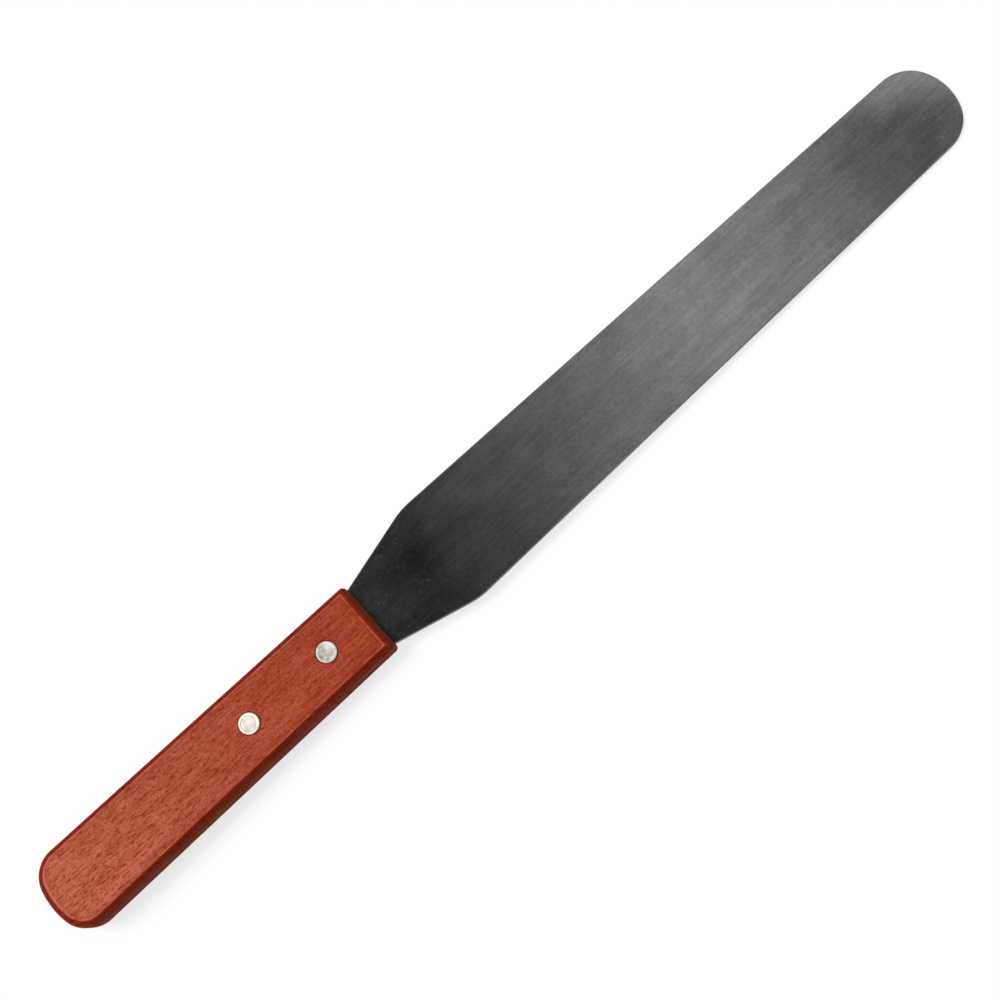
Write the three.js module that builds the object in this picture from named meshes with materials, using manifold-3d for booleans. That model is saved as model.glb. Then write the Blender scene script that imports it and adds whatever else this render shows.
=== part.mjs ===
// Icing smoother: a straight steel spatula in a riveted wooden handle of two scales.
// Millimetres. +X runs from the butt of the handle to the blade's tip, +Y across, +Z up.
// The pieces are drawn with the handle's front at x = 0 and the steel sheet's middle at z = 0,
// and the group then moves them so that the tool lies on z = 0 with its box centred on the Z axis.
import * as THREE from 'three';
import { mergeVertices } from 'three/addons/utils/BufferGeometryUtils.js';
import Module from 'manifold-3d';

const wasm = await Module();
wasm.setup();

// Steel sheet: blade and neck
const bladeReach = 203; // handle front to the tip
const sheetThickness = 1.0;
const heelWidth = 31.8; // across the shoulders
const tipWidth = 25.1; // where the tapering edges would meet the end of the tip
const neckWidth = 19.2; // where the sheet leaves the handle
const shoulderReach = 24.3; // handle front to the shoulders
const shoulderRadius = 21;
const tipCornerRadius = 10.4;
const tipEndRadius = 16;
const sheetEdgeBreak = 0.2; // small bevel that takes the burr off the sheet

// Steel sheet: tang, hidden in the handle
const tangWidth = 13;
const tangBeyondRivet = 9; // rear rivet to the end of the tang
const tangCornerRadius = 3;
const pocketClearance = 0.3; // tang edge to pocket wall

// Wooden handle, shaped as one block and parted at the middle of the sheet
const handleLength = 111.3;
const handleThickness = 9.2;
const handleFrontWidth = 21.3;
const handleButtWidth = 23.7;
const buttCornerRadius = 8.4;
const buttEndRadius = 23;
const handleEdgeWidth = 1.95; // how far a rounded edge reaches in over the flat face
const handleEdgeHeight = 2.6; // how far it reaches down the wall

// Two-piece rivets: a post with a solid pin, pressed into a socket with a tube
const frontRivetSetback = 14.1; // handle front to the front rivet
const rivetSpacing = 27.1;
const headDiameter = 5.8;
const headThickness = 1.1;
const headProud = 0.35; // how far a head stands above the wood
const headRimBevel = 0.25;
const pinDiameter = 2.4;
const pinClearance = 0.15;
const tubeWall = 0.65;
const tubeEndGap = 0.3; // tube's end to the other head, and pin's end to the bottom of the bore
const holeClearance = 0.2; // tube to the holes in wood and steel
const seatClearance = 0.15; // head's rim to the wall of its counterbore

// Facets
const arcSteps = 8;
const edgeSteps = 4;
const roundSides = 32;
const cutMargin = 1; // how far a cutting tool runs past the surface it cuts

const steel = { color: 0x5b5d5c, roughness: 0.42, metalness: 1 };
const stainedWood = { color: 0xa5503b, roughness: 0.5, metalness: 0 };
const rivetMetal = { color: 0xd9d5cc, roughness: 0.35, metalness: 1 };

// Places and sizes that follow from the driving dimensions
const rearRivetSetback = frontRivetSetback + rivetSpacing;
const tangLength = rearRivetSetback + tangBeyondRivet;
const flareSlope = (heelWidth - neckWidth) / 2 / shoulderReach;
const flareStart = (tangWidth - neckWidth) / 2 / flareSlope;
const boreRadius = pinDiameter / 2 + pinClearance;
const tubeRadius = boreRadius + tubeWall;
const rivetHoleRadius = tubeRadius + holeClearance;
const seatRadius = headDiameter / 2 + seatClearance;
const headTop = handleThickness / 2 + headProud;
const seatHeight = headTop - headThickness;

const point = (x, y) => new THREE.Vector2(x, y);

// Draws a line toward a corner and rounds the corner off, heading for the next point.
function roundCorner(shape, corner, next, radius) {
  const back = shape.currentPoint.clone().sub(corner).normalize();
  const ahead = next.clone().sub(corner).normalize();
  const halfAngle = Math.acos(back.dot(ahead)) / 2;
  const setback = radius / Math.tan(halfAngle);
  const centre = back.clone().add(ahead).setLength(radius / Math.sin(halfAngle)).add(corner);
  const start = corner.clone().addScaledVector(back, setback).sub(centre);
  const end = corner.clone().addScaledVector(ahead, setback).sub(centre);
  const clockwise = back.cross(ahead) > 0;
  shape.absarc(centre.x, centre.y, radius, start.angle(), end.angle(), clockwise);
}

// Closes a strip that tapers along +X with a bowed end between two rounded corners, drawn from the lower
// edge to the upper. The upper edge runs from one point to another, and the lower one mirrors it.
function roundEnd(shape, from, to, cornerRadius, endRadius) {
  const slope = Math.atan2(to.y - from.y, to.x - from.x);
  const along = point(Math.cos(slope), Math.sin(slope));
  const inward = point(Math.sin(slope), -Math.cos(slope));
  const endCentre = point(to.x - endRadius, 0);
  const offset = from.clone().addScaledVector(inward, cornerRadius).sub(endCentre);
  const reach = (endRadius - cornerRadius) ** 2 - offset.lengthSq() + offset.dot(along) ** 2;
  const corner = offset.clone().addScaledVector(along, Math.sqrt(reach) - offset.dot(along));
  const bow = corner.angle();
  const edge = slope + Math.PI / 2;
  shape.absarc(endCentre.x + corner.x, -corner.y, cornerRadius, -edge, -bow);
  shape.absarc(endCentre.x, 0, endRadius, -bow, bow);
  shape.absarc(endCentre.x + corner.x, corner.y, cornerRadius, bow, edge);
}

// Extrudes a shape about z = 0. Its edges are eased over a width on the faces and a height on the walls.
function slab(shape, thickness, edge = { width: 0, height: 0, steps: 1 }) {
  const geometry = new THREE.ExtrudeGeometry(shape, {
    depth: thickness - 2 * edge.height,
    curveSegments: arcSteps,
    bevelEnabled: edge.height > 0,
    bevelThickness: edge.height,
    bevelSize: edge.width,
    bevelOffset: -edge.width,
    bevelSegments: edge.steps,
  });
  return geometry.translate(0, 0, edge.height - thickness / 2);
}

// An upright cylinder between two heights, behind the handle's front by a setback.
function uprightCylinder(setback, radius, bottom, top) {
  const geometry = new THREE.CylinderGeometry(radius, radius, top - bottom, roundSides);
  return geometry.rotateX(Math.PI / 2).translate(-setback, 0, (bottom + top) / 2);
}

function toSolid(geometry) {
  const bare = geometry.clone();
  bare.deleteAttribute('normal');
  bare.deleteAttribute('uv');
  const merged = mergeVertices(bare);
  const vertProperties = Float32Array.from(merged.attributes.position.array);
  const triVerts = Uint32Array.from(merged.index.array);
  return new wasm.Manifold(new wasm.Mesh({ numProp: 3, vertProperties, triVerts }));
}

function fromSolid(solid) {
  const { vertProperties, triVerts } = solid.getMesh();
  const geometry = new THREE.BufferGeometry();
  geometry.setAttribute('position', new THREE.BufferAttribute(vertProperties, 3));
  geometry.setIndex(new THREE.BufferAttribute(triVerts, 1));
  geometry.computeVertexNormals();
  return geometry;
}

const cut = (solid, geometry) => solid.subtract(toSolid(geometry));

// Blade, neck and tang in one sheet, with two rivet holes through the tang
function bladeGeometry() {
  const tangHalf = tangWidth / 2;
  const heel = point(shoulderReach, heelWidth / 2);
  const tip = point(bladeReach, tipWidth / 2);
  const outline = new THREE.Shape();
  outline.moveTo(-tangLength, 0);
  roundCorner(outline, point(-tangLength, -tangHalf), point(flareStart, -tangHalf), tangCornerRadius);
  outline.lineTo(flareStart, -tangHalf);
  roundCorner(outline, point(heel.x, -heel.y), point(tip.x, -tip.y), shoulderRadius);
  roundEnd(outline, heel, tip, tipCornerRadius, tipEndRadius);
  roundCorner(outline, heel, point(flareStart, tangHalf), shoulderRadius);
  outline.lineTo(flareStart, tangHalf);
  roundCorner(outline, point(-tangLength, tangHalf), point(-tangLength, 0), tangCornerRadius);
  outline.closePath();
  for (const setback of [frontRivetSetback, rearRivetSetback]) {
    const hole = new THREE.Path();
    hole.absarc(-setback, 0, rivetHoleRadius, 0, 2 * Math.PI);
    outline.holes.push(hole);
  }
  return slab(outline, sheetThickness, { width: sheetEdgeBreak, height: sheetEdgeBreak, steps: 1 });
}

// The room for the tang, open at the handle's front
function pocketGeometry() {
  const end = -tangLength - pocketClearance;
  const half = tangWidth / 2 + pocketClearance;
  const mouthHalf = neckWidth / 2 + pocketClearance + flareSlope * cutMargin;
  const outline = new THREE.Shape();
  outline.moveTo(end, 0);
  roundCorner(outline, point(end, -half), point(flareStart, -half), tangCornerRadius);
  outline.lineTo(flareStart, -half);
  outline.lineTo(cutMargin, -mouthHalf);
  outline.lineTo(cutMargin, mouthHalf);
  outline.lineTo(flareStart, half);
  roundCorner(outline, point(end, half), point(end, 0), tangCornerRadius);
  outline.closePath();
  return slab(outline, sheetThickness);
}

// The whole handle, drawn from its front along +X and then turned to run along -X. The eased edges meet in
// mitres at the two front corners.
function handleBlockGeometry() {
  const front = point(0, handleFrontWidth / 2);
  const butt = point(handleLength, handleButtWidth / 2);
  const outline = new THREE.Shape();
  outline.moveTo(0, 0);
  outline.lineTo(0, -front.y);
  roundEnd(outline, front, butt, buttCornerRadius, buttEndRadius);
  outline.lineTo(0, front.y);
  outline.closePath();
  const edge = { width: handleEdgeWidth, height: handleEdgeHeight, steps: edgeSteps };
  return slab(outline, handleThickness, edge).rotateZ(Math.PI);
}

// One half of the handle: side is 1 for the upper scale and -1 for the lower one
function scaleGeometry(side) {
  const half = handleThickness / 2;
  const length = handleLength + 2 * cutMargin;
  const width = Math.max(handleFrontWidth, handleButtWidth) + 2 * cutMargin;
  const otherHalf = new THREE.BoxGeometry(length, width, half + cutMargin);
  otherHalf.translate(-handleLength / 2, 0, (-side * (half + cutMargin)) / 2);
  let scale = cut(toSolid(handleBlockGeometry()), otherHalf);
  scale = cut(scale, pocketGeometry());
  for (const setback of [frontRivetSetback, rearRivetSetback]) {
    const past = half + cutMargin;
    const seat = side > 0 ? [seatHeight, past] : [-past, -seatHeight];
    scale = cut(scale, uprightCylinder(setback, rivetHoleRadius, -past, past));
    scale = cut(scale, uprightCylinder(setback, seatRadius, ...seat));
  }
  return fromSolid(scale);
}

// A rivet half, turned about its own axis: side is 1 for a head on top and -1 for a head underneath
function turned(profile, setback, side) {
  const geometry = new THREE.LatheGeometry(profile, roundSides).rotateX((side * Math.PI) / 2);
  return geometry.translate(-setback, 0, 0);
}

// Heights in both rivet profiles are measured from the sheet's middle toward the piece's own head.
function headProfile() {
  const rim = headDiameter / 2;
  return [
    point(rim, seatHeight),
    point(rim, headTop - headRimBevel),
    point(rim - headRimBevel, headTop),
    point(0, headTop),
  ];
}

function postGeometry(setback) {
  const pinEnd = tubeEndGap - seatHeight;
  const pinRadius = pinDiameter / 2;
  const pin = [point(0, pinEnd), point(pinRadius, pinEnd), point(pinRadius, seatHeight)];
  return turned([...pin, ...headProfile()], setback, 1);
}

function socketGeometry(setback) {
  const tubeEnd = tubeEndGap - seatHeight;
  const tube = [
    point(0, seatHeight),
    point(boreRadius, seatHeight),
    point(boreRadius, tubeEnd),
    point(tubeRadius, tubeEnd),
    point(tubeRadius, seatHeight),
  ];
  return turned([...tube, ...headProfile()], setback, -1);
}

const tool = new THREE.Group();

function addPiece(name, geometry, look) {
  const mesh = new THREE.Mesh(geometry, new THREE.MeshStandardMaterial(look));
  mesh.name = name;
  tool.add(mesh);
}

addPiece('blade', bladeGeometry(), steel);
addPiece('upper_scale', scaleGeometry(1), stainedWood);
addPiece('lower_scale', scaleGeometry(-1), stainedWood);
for (const [place, setback] of [['front', frontRivetSetback], ['rear', rearRivetSetback]]) {
  addPiece(`${place}_rivet_post`, postGeometry(setback), rivetMetal);
  addPiece(`${place}_rivet_socket`, socketGeometry(setback), rivetMetal);
}

tool.position.set((handleLength - bladeReach) / 2, 0, headTop);

export default tool;
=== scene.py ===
# %% [markdown]
# # An icing smoother in steel, stained wood and rivets
# An icing smoother is a long springy blade with a round tip, pinned by two rivets between the halves
# of a wooden handle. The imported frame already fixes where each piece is, so this file makes finer
# shapes for the same pieces and gives them their finishes. Lengths are in metres, +X runs from the
# butt of the handle to the tip of the blade, and +Z is up.

# %% Load the frame
import math

import bmesh
import bpy
import numpy as np
from mathutils import Matrix, Vector


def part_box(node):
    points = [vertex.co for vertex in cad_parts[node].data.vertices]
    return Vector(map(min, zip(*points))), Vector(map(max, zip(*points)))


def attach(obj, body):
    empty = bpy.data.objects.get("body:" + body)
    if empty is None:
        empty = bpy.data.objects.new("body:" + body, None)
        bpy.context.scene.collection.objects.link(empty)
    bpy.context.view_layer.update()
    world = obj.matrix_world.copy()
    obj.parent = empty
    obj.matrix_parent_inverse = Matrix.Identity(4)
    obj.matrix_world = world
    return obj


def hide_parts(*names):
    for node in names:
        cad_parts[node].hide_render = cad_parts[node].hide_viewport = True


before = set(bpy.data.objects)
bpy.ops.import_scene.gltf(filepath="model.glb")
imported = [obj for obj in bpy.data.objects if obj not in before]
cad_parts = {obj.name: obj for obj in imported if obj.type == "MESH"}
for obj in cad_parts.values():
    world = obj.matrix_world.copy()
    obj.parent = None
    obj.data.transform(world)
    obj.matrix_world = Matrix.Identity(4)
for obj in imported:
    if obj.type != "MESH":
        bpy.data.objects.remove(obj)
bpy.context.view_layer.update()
MM = 0.001

# %% [markdown]
# ## The camera
# The photograph looks down at the tool, about fifteen degrees off straight overhead, and is rolled so
# that the blade points to the upper right. A new Blender camera looks straight down with +X to its
# right. Three turns bring it from there to the photograph's view: a roll about its own axis, a tilt
# about X, and a small turn about Z. Written as three matrices, each turn keeps a plain meaning.

# %% Camera
LENS_MM = 72.0  # on Blender's 36 mm sensor
CAMERA_DISTANCE = 518.5 * MM
CAMERA_TILT = math.radians(14.65)
CAMERA_ROLL = math.radians(42.97)
CAMERA_TURN = math.radians(0.29)
AIM = Vector((-0.67, -0.31, 4.95)) * MM

camera_turns = (
    Matrix.Rotation(CAMERA_TURN, 4, "Z")
    @ Matrix.Rotation(CAMERA_TILT, 4, "X")
    @ Matrix.Rotation(-CAMERA_ROLL, 4, "Z")
)
step_back = Matrix.Translation((0, 0, CAMERA_DISTANCE))
camera = bpy.data.objects.new("camera", bpy.data.cameras.new("camera"))
camera.data.lens = LENS_MM
camera.matrix_world = Matrix.Translation(AIM) @ camera_turns @ step_back
scene = bpy.context.scene
scene.collection.objects.link(camera)
scene.camera = camera
scene.view_settings.view_transform = "Standard"
print("camera stands at, mm:", [round(v / MM, 1) for v in camera.matrix_world.translation])

# %% [markdown]
# ## Sizes
# Heights and ends come from the boxes of the frame's own pieces, so that the finer shapes land where
# the solids are. Sizes that a box can't tell, such as the width of the neck, are written in
# millimetres, here or where they are first needed.

# %% Sizes
blade_low, blade_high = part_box("blade")
scale_low, scale_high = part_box("upper_scale")
HANDLE_FRONT, HANDLE_BUTT = scale_high.x, scale_low.x
HANDLE_TOP, PARTING = scale_high.z, scale_low.z
TANG_END, TIP = blade_low.x, blade_high.x
SHEET = blade_high.z - blade_low.z

NECK_WIDTH = 19.2 * MM
HEEL_WIDTH = 31.8 * MM
TIP_WIDTH = 25.1 * MM  # where the tapering edges would meet the end of the tip
SHOULDER_REACH = 24.3 * MM  # front of the handle to the shoulders
TANG_WIDTH = 13 * MM
HANDLE_FRONT_WIDTH = 21.3 * MM
HANDLE_BUTT_WIDTH = 23.7 * MM
print("handle is %.1f mm long, blade shows %.1f mm" % (
    (HANDLE_FRONT - HANDLE_BUTT) / MM, (TIP - HANDLE_FRONT) / MM))

# %% [markdown]
# ## Drawing outlines
# Both the blade and the handle are flat shapes with rounded corners, so each starts as an outline in
# the XY plane. Blender's curve objects could draw it, but they don't give the outward direction at
# each point, which is what lets an edge be rounded by exact steps later. So a row of an outline holds
# its place and the outward direction, and what happens when it is drawn in by more than the radius of
# its corner: from there on it follows the mitre between the two sides. An arc gives its rows directly,
# and straight stretches are filled in between arcs.

# %% Outline rows
ARC_STEP = math.radians(5)
LINE_STEP = 4 * MM
# The columns of a row. The limit is how far a row may be drawn in along its outward direction.
PLACE, OUTWARD, LIMIT, MITRE = slice(0, 2), slice(2, 4), slice(4, 5), slice(5, 7)


def outline_rows(places, outward, limit=math.inf, mitre=(0, 0)):
    count = len(places)
    return np.hstack([places, outward, np.full((count, 1), limit), np.tile(mitre, (count, 1))])


def drawn_in(outline, inset):
    limit = outline[:, LIMIT]
    straight = np.minimum(inset, limit) * outline[:, OUTWARD]
    slanting = np.maximum(inset - limit, 0) * outline[:, MITRE]
    return outline[:, PLACE] - straight - slanting


def arc_rows(centre, radius, start, end):
    # An arc that runs clockwise is hollow: its outward direction points to its centre.
    count = max(2, math.ceil(abs(end - start) / ARC_STEP))
    angles = np.linspace(start, end, count + 1)
    radial = np.stack([np.cos(angles), np.sin(angles)], axis=1)
    hollow = end < start
    outward = -radial if hollow else radial
    middle, half = (start + end) / 2, abs(end - start) / 2
    mitre = np.array([math.cos(middle), math.sin(middle)]) / math.cos(half)
    limit = math.inf if hollow else radius
    return outline_rows(np.array(centre) + radius * radial, outward, limit, mitre)


print("a row has %d columns" % arc_rows((0, 0), 1, 0, 1).shape[1])

# %% Corners and ends
def rounded_corner(before, corner, after, radius):
    before, corner, after = (np.array(p, float) for p in (before, corner, after))
    back = (before - corner) / np.linalg.norm(before - corner)
    ahead = (after - corner) / np.linalg.norm(after - corner)
    half_angle = math.acos(back @ ahead) / 2
    inward = (back + ahead) / np.linalg.norm(back + ahead)
    centre = corner + inward * radius / math.sin(half_angle)
    setback = radius / math.tan(half_angle)
    first, last = corner + back * setback - centre, corner + ahead * setback - centre
    start, end = math.atan2(first[1], first[0]), math.atan2(last[1], last[0])
    turns_left = ahead[0] * back[1] - ahead[1] * back[0] > 0
    if turns_left and end < start:
        end += math.tau
    if not turns_left and end > start:
        end -= math.tau
    return arc_rows(centre, radius, start, end)


def bowed_end(near, far, corner_radius, bow_radius):
    # Three arcs that close a strip tapering along +X, from its lower edge to its upper one.
    # The upper edge runs from near to far, and far is level with the end of the bow.
    slope = math.atan2(far[1] - near[1], far[0] - near[0])
    along = np.array([math.cos(slope), math.sin(slope)])
    inward = np.array([math.sin(slope), -math.cos(slope)])
    bow_centre = np.array([far[0] - bow_radius, 0.0])
    offset = np.array(near) + inward * corner_radius - bow_centre
    reach = (bow_radius - corner_radius) ** 2 - offset @ offset + (offset @ along) ** 2
    corner = offset + along * (math.sqrt(reach) - offset @ along)
    bow, edge = math.atan2(corner[1], corner[0]), slope + math.pi / 2
    upper, lower = bow_centre + corner, bow_centre + corner * np.array([1, -1])
    return [
        arc_rows(lower, corner_radius, -edge, -bow),
        arc_rows(bow_centre, bow_radius, -bow, bow)[1:-1],
        arc_rows(upper, corner_radius, bow, edge),
    ]


def closed_outline(arcs):
    rows = []
    for arc, following in zip(arcs, arcs[1:] + arcs[:1]):
        rows.append(arc)
        start, end = arc[-1, PLACE], following[0, PLACE]
        length = np.linalg.norm(end - start)
        count = round(length / LINE_STEP)
        if count > 1:
            share = np.linspace(0, 1, count + 1)[1:-1, None]
            direction = (end - start) / length
            outward = np.tile([direction[1], -direction[0]], (count - 1, 1))
            rows.append(outline_rows(start + (end - start) * share, outward))
    return np.vstack(rows)


def circle_outline(centre_x, radius, sides):
    angles = np.linspace(0, math.tau, sides, endpoint=False)
    radial = np.stack([np.cos(angles), np.sin(angles)], axis=1)
    return outline_rows(radius * radial + np.array([centre_x, 0]), radial)


print("a right-angled corner takes %d rows" % len(rounded_corner((0, 1), (0, 0), (1, 0), 1)))

# %% [markdown]
# ## From an outline to a solid
# A solid grows from an outline by stacking rings: each ring is the outline, drawn in by some amount,
# at some height. Extruding the outline and bevelling its edges would be shorter, but leaves less say
# over each step. A quarter circle of steps makes a rounded edge. One more ring on each flat face, just
# inside the rounding, keeps the smooth shading of the edge from spreading over the face, which would
# show at once on polished steel. Holes and pockets are cut afterwards with Boolean modifiers.

# %% Rings and solids
SMOOTH_ANGLE = math.radians(35)
FACE_RING = 0.15 * MM  # how far inside a rounded edge the flat face gets its own ring
MERGE_DISTANCE = 0.001 * MM


def eased_top(top, radius, count):
    angles = [math.pi / 2 * i / count for i in range(count + 1)]
    rounding = [(radius * (1 - math.cos(a)), top - radius * (1 - math.sin(a))) for a in angles]
    return rounding + [(radius + FACE_RING, top)]


def upside_down(steps):
    # The same steps under the plane where the handle parts, still from the lowest to the highest.
    return [(inset, 2 * PARTING - height) for inset, height in reversed(steps)]


def finish_mesh(mesh):
    mesh.shade_smooth()
    mesh.set_sharp_from_angle(angle=SMOOTH_ANGLE)


def stacked_solid(name, outline, steps):
    bm = bmesh.new()
    rings = []
    for inset, height in steps:
        rings.append([bm.verts.new((x, y, height)) for x, y in drawn_in(outline, inset)])
    for lower, upper in zip(rings, rings[1:]):
        for i in range(len(outline)):
            bm.faces.new((lower[i - 1], lower[i], upper[i], upper[i - 1]))
    caps = [bm.faces.new(reversed(rings[0])), bm.faces.new(rings[-1])]
    bmesh.ops.remove_doubles(bm, verts=bm.verts, dist=MERGE_DISTANCE)
    bmesh.ops.triangulate(bm, faces=[cap for cap in caps if cap.is_valid])
    mesh = bpy.data.meshes.new(name)
    bm.to_mesh(mesh)
    bm.free()
    piece = bpy.data.objects.new(name, mesh)
    scene.collection.objects.link(piece)
    return piece


print("an eased edge of four steps takes %d rings" % len(eased_top(0, MM, 4)))

# %% Cutting and checking
def keep_result(piece):
    # Turns what the modifiers make into the piece's own plain mesh.
    before = piece.data
    evaluated = piece.evaluated_get(bpy.context.evaluated_depsgraph_get())
    piece.data = bpy.data.meshes.new_from_object(evaluated)
    piece.data.name = piece.name
    piece.modifiers.clear()
    bpy.data.meshes.remove(before)


def cut_away(piece, cutters):
    for cutter in cutters:
        cut = piece.modifiers.new("cut", "BOOLEAN")
        cut.operation = "DIFFERENCE"
        cut.solver = "EXACT"
        cut.object = cutter
    keep_result(piece)
    for cutter in cutters:
        bpy.data.objects.remove(cutter)


def open_edges(mesh):
    # In a closed solid, two faces use every edge.
    uses = np.zeros(len(mesh.edges), int)
    np.add.at(uses, [loop.edge_index for loop in mesh.loops], 1)
    return int((uses != 2).sum())


def report(piece):
    corners = np.array([v.co for v in piece.data.vertices]) / MM
    low, high = corners.min(0).round(2), corners.max(0).round(2)
    print("%s: %d faces, %s to %s mm, %d open edges" % (
        piece.name, len(piece.data.polygons), low, high, open_edges(piece.data)))


print("solid helpers are ready")

# %% [markdown]
# ## Rivet places
# Each rivet is two halves that join inside the handle: a post with a solid pin, put in from above, and
# a socket with a tube, put in from below. Their heads sit in round seats in the wood. The places could
# be written down as numbers, but the seats, the holes in the tang and the rivets all share them, so
# they are read from the frame.

# %% Rivet places
rivet_boxes = {place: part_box(place + "_rivet_post") for place in ("front", "rear")}
RIVET_X = {place: (low.x + high.x) / 2 for place, (low, high) in rivet_boxes.items()}
HEAD_TOP = rivet_boxes["front"][1].z
HEAD_RADIUS = (rivet_boxes["front"][1].x - rivet_boxes["front"][0].x) / 2
HEAD_HEIGHT = 1.1 * MM
SEAT = HEAD_TOP - HEAD_HEIGHT
SEAT_ROOM = 0.15 * MM  # between a head and the wall of its seat
SEAT_RADIUS = HEAD_RADIUS + SEAT_ROOM
HOLE_RADIUS = 2.2 * MM
ROUND_SIDES = 72
print("rivets at x, mm:", {place: round(x / MM, 1) for place, x in RIVET_X.items()})

# %% [markdown]
# ## The blade
# The real blade is stamped from one springy sheet: a hidden tang, a neck that flares to the shoulders,
# two long edges that taper a little, and a round tip. A plain box could be cut to that shape, but the
# curves of the tip and the shoulders are what one sees first, so they are drawn as arcs. The edges are
# barely eased, so a stack of rings is all it needs, and two holes drilled with booleans.

# %% Blade
SHOULDER_RADIUS = 21 * MM
TIP_CORNER_RADIUS = 10.4 * MM
TIP_BOW_RADIUS = 16 * MM
TANG_CORNER_RADIUS = 3 * MM
FLARE_FILLET = 2 * MM
SHEET_EDGE = 0.22 * MM
SHEET_EDGE_STEPS = 3

shoulder_x = HANDLE_FRONT + SHOULDER_REACH
flare_slope = (HEEL_WIDTH - NECK_WIDTH) / 2 / SHOULDER_REACH
flare_x = HANDLE_FRONT - (NECK_WIDTH - TANG_WIDTH) / 2 / flare_slope


def blade_outline():
    tang, flare = (TANG_END, TANG_WIDTH / 2), (flare_x, TANG_WIDTH / 2)
    heel, tip = (shoulder_x, HEEL_WIDTH / 2), (TIP, TIP_WIDTH / 2)
    tang_low, flare_low, heel_low, tip_low = ((x, -y) for x, y in (tang, flare, heel, tip))
    tang_middle = (TANG_END, 0)
    return closed_outline([
        rounded_corner(tang_middle, tang_low, flare_low, TANG_CORNER_RADIUS),
        rounded_corner(tang_low, flare_low, heel_low, FLARE_FILLET),
        rounded_corner(flare_low, heel_low, tip_low, SHOULDER_RADIUS),
        *bowed_end(heel, tip, TIP_CORNER_RADIUS, TIP_BOW_RADIUS),
        rounded_corner(tip, heel, flare, SHOULDER_RADIUS),
        rounded_corner(heel, flare, tang, FLARE_FILLET),
        rounded_corner(flare, tang, tang_middle, TANG_CORNER_RADIUS),
    ])


upper_face = eased_top(PARTING + SHEET / 2, SHEET_EDGE, SHEET_EDGE_STEPS)
blade = stacked_solid("steel_blade", blade_outline(), upside_down(upper_face) + upper_face)
DRILL_STEPS = [(0, PARTING - SHEET), (0, PARTING + SHEET)]
cut_away(blade, [
    stacked_solid("drill", circle_outline(x, HOLE_RADIUS, ROUND_SIDES), DRILL_STEPS)
    for x in RIVET_X.values()
])
finish_mesh(blade.data)
report(blade)

# %% [markdown]
# ## The handle's two halves
# The handle is two scales of wood that meet at the middle of the sheet. Each has a shallow pocket for
# the tang, and a stepped hole for each rivet. The outside is one outline again, with an edge that is
# rounded over: it meets the sanded face in a worn crease, is mitred at the front corners, and is eased
# further round the butt. A Bevel modifier could round it evenly, but stacked rings can follow all that.
# The pocket and the holes are cut with booleans, because their edges cross the flat face where no ring
# runs. A fine bevel where the halves meet gives the hairline joint that two boards have, and an
# attribute marks the rim of the face for the finish.

# %% Handle outline and edge
BUTT_CORNER_RADIUS = 8.4 * MM
BUTT_BOW_RADIUS = 23 * MM
EDGE_RADIUS = 2.9 * MM
EDGE_STEPS = 10
EDGE_CREASE = math.radians(26)  # how steeply the rounding leaves the flat face
WORN_WIDTH = 0.36 * MM
WORN_SLOPE = math.radians(10)
BUTT_EDGE_GROWTH = 1.33  # the edge is eased further at the butt than along the sides
RIM_WIDTH = 1.3 * MM  # how far inside the worn edge the stain is deeper
FRONT_CORNER_RADIUS = 1.2 * MM


def handle_outline():
    # Drawn with its front at the origin and its butt toward +X, then turned round to its place.
    length = HANDLE_FRONT - HANDLE_BUTT
    front, butt = (0, HANDLE_FRONT_WIDTH / 2), (length, HANDLE_BUTT_WIDTH / 2)
    front_low, butt_low = (front[0], -front[1]), (butt[0], -butt[1])
    rows = closed_outline([
        rounded_corner((0, 0), front_low, butt_low, FRONT_CORNER_RADIUS),
        *bowed_end(front, butt, BUTT_CORNER_RADIUS, BUTT_BOW_RADIUS),
        rounded_corner(butt, front, (0, 0), FRONT_CORNER_RADIUS),
    ])
    toward_butt = np.clip((rows[:, :1] - length + BUTT_CORNER_RADIUS) / BUTT_CORNER_RADIUS, 0, 1)
    rows[:, OUTWARD] *= 1 + (BUTT_EDGE_GROWTH - 1) * toward_butt
    for column in (PLACE, OUTWARD, MITRE):
        rows[:, column] *= -1
    rows[:, 0] += HANDLE_FRONT
    return rows


def creased_edge(top):
    # From the wall up: an arc that stops at the crease, the worn crease itself, and the flat face.
    drop = WORN_WIDTH * math.tan(WORN_SLOPE)
    steps = []
    for tilt in np.linspace(math.pi / 2, EDGE_CREASE, EDGE_STEPS + 1):
        rise = EDGE_RADIUS * (math.cos(EDGE_CREASE) - math.cos(tilt))
        steps.append((EDGE_RADIUS * (1 - math.sin(tilt)), top - drop - rise))
    inset = steps[-1][0] + WORN_WIDTH
    return steps + [(inset, top), (inset + FACE_RING, top), (inset + RIM_WIDTH, top)]


print("handle outline has %d rows, its edge %d rings" % (
    len(handle_outline()), len(creased_edge(HANDLE_TOP))))

# %% Handle cutters
POCKET_ROOM = 0.3 * MM
POCKET_LIFT = 0.03 * MM  # leaves a hairline between the sheet and the wood at the front
POCKET_REACH = SHEET / 2 + POCKET_LIFT
SEAT_BEVEL = 0.12 * MM
PAST = 1 * MM  # how far a cutter runs past what it cuts


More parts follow.
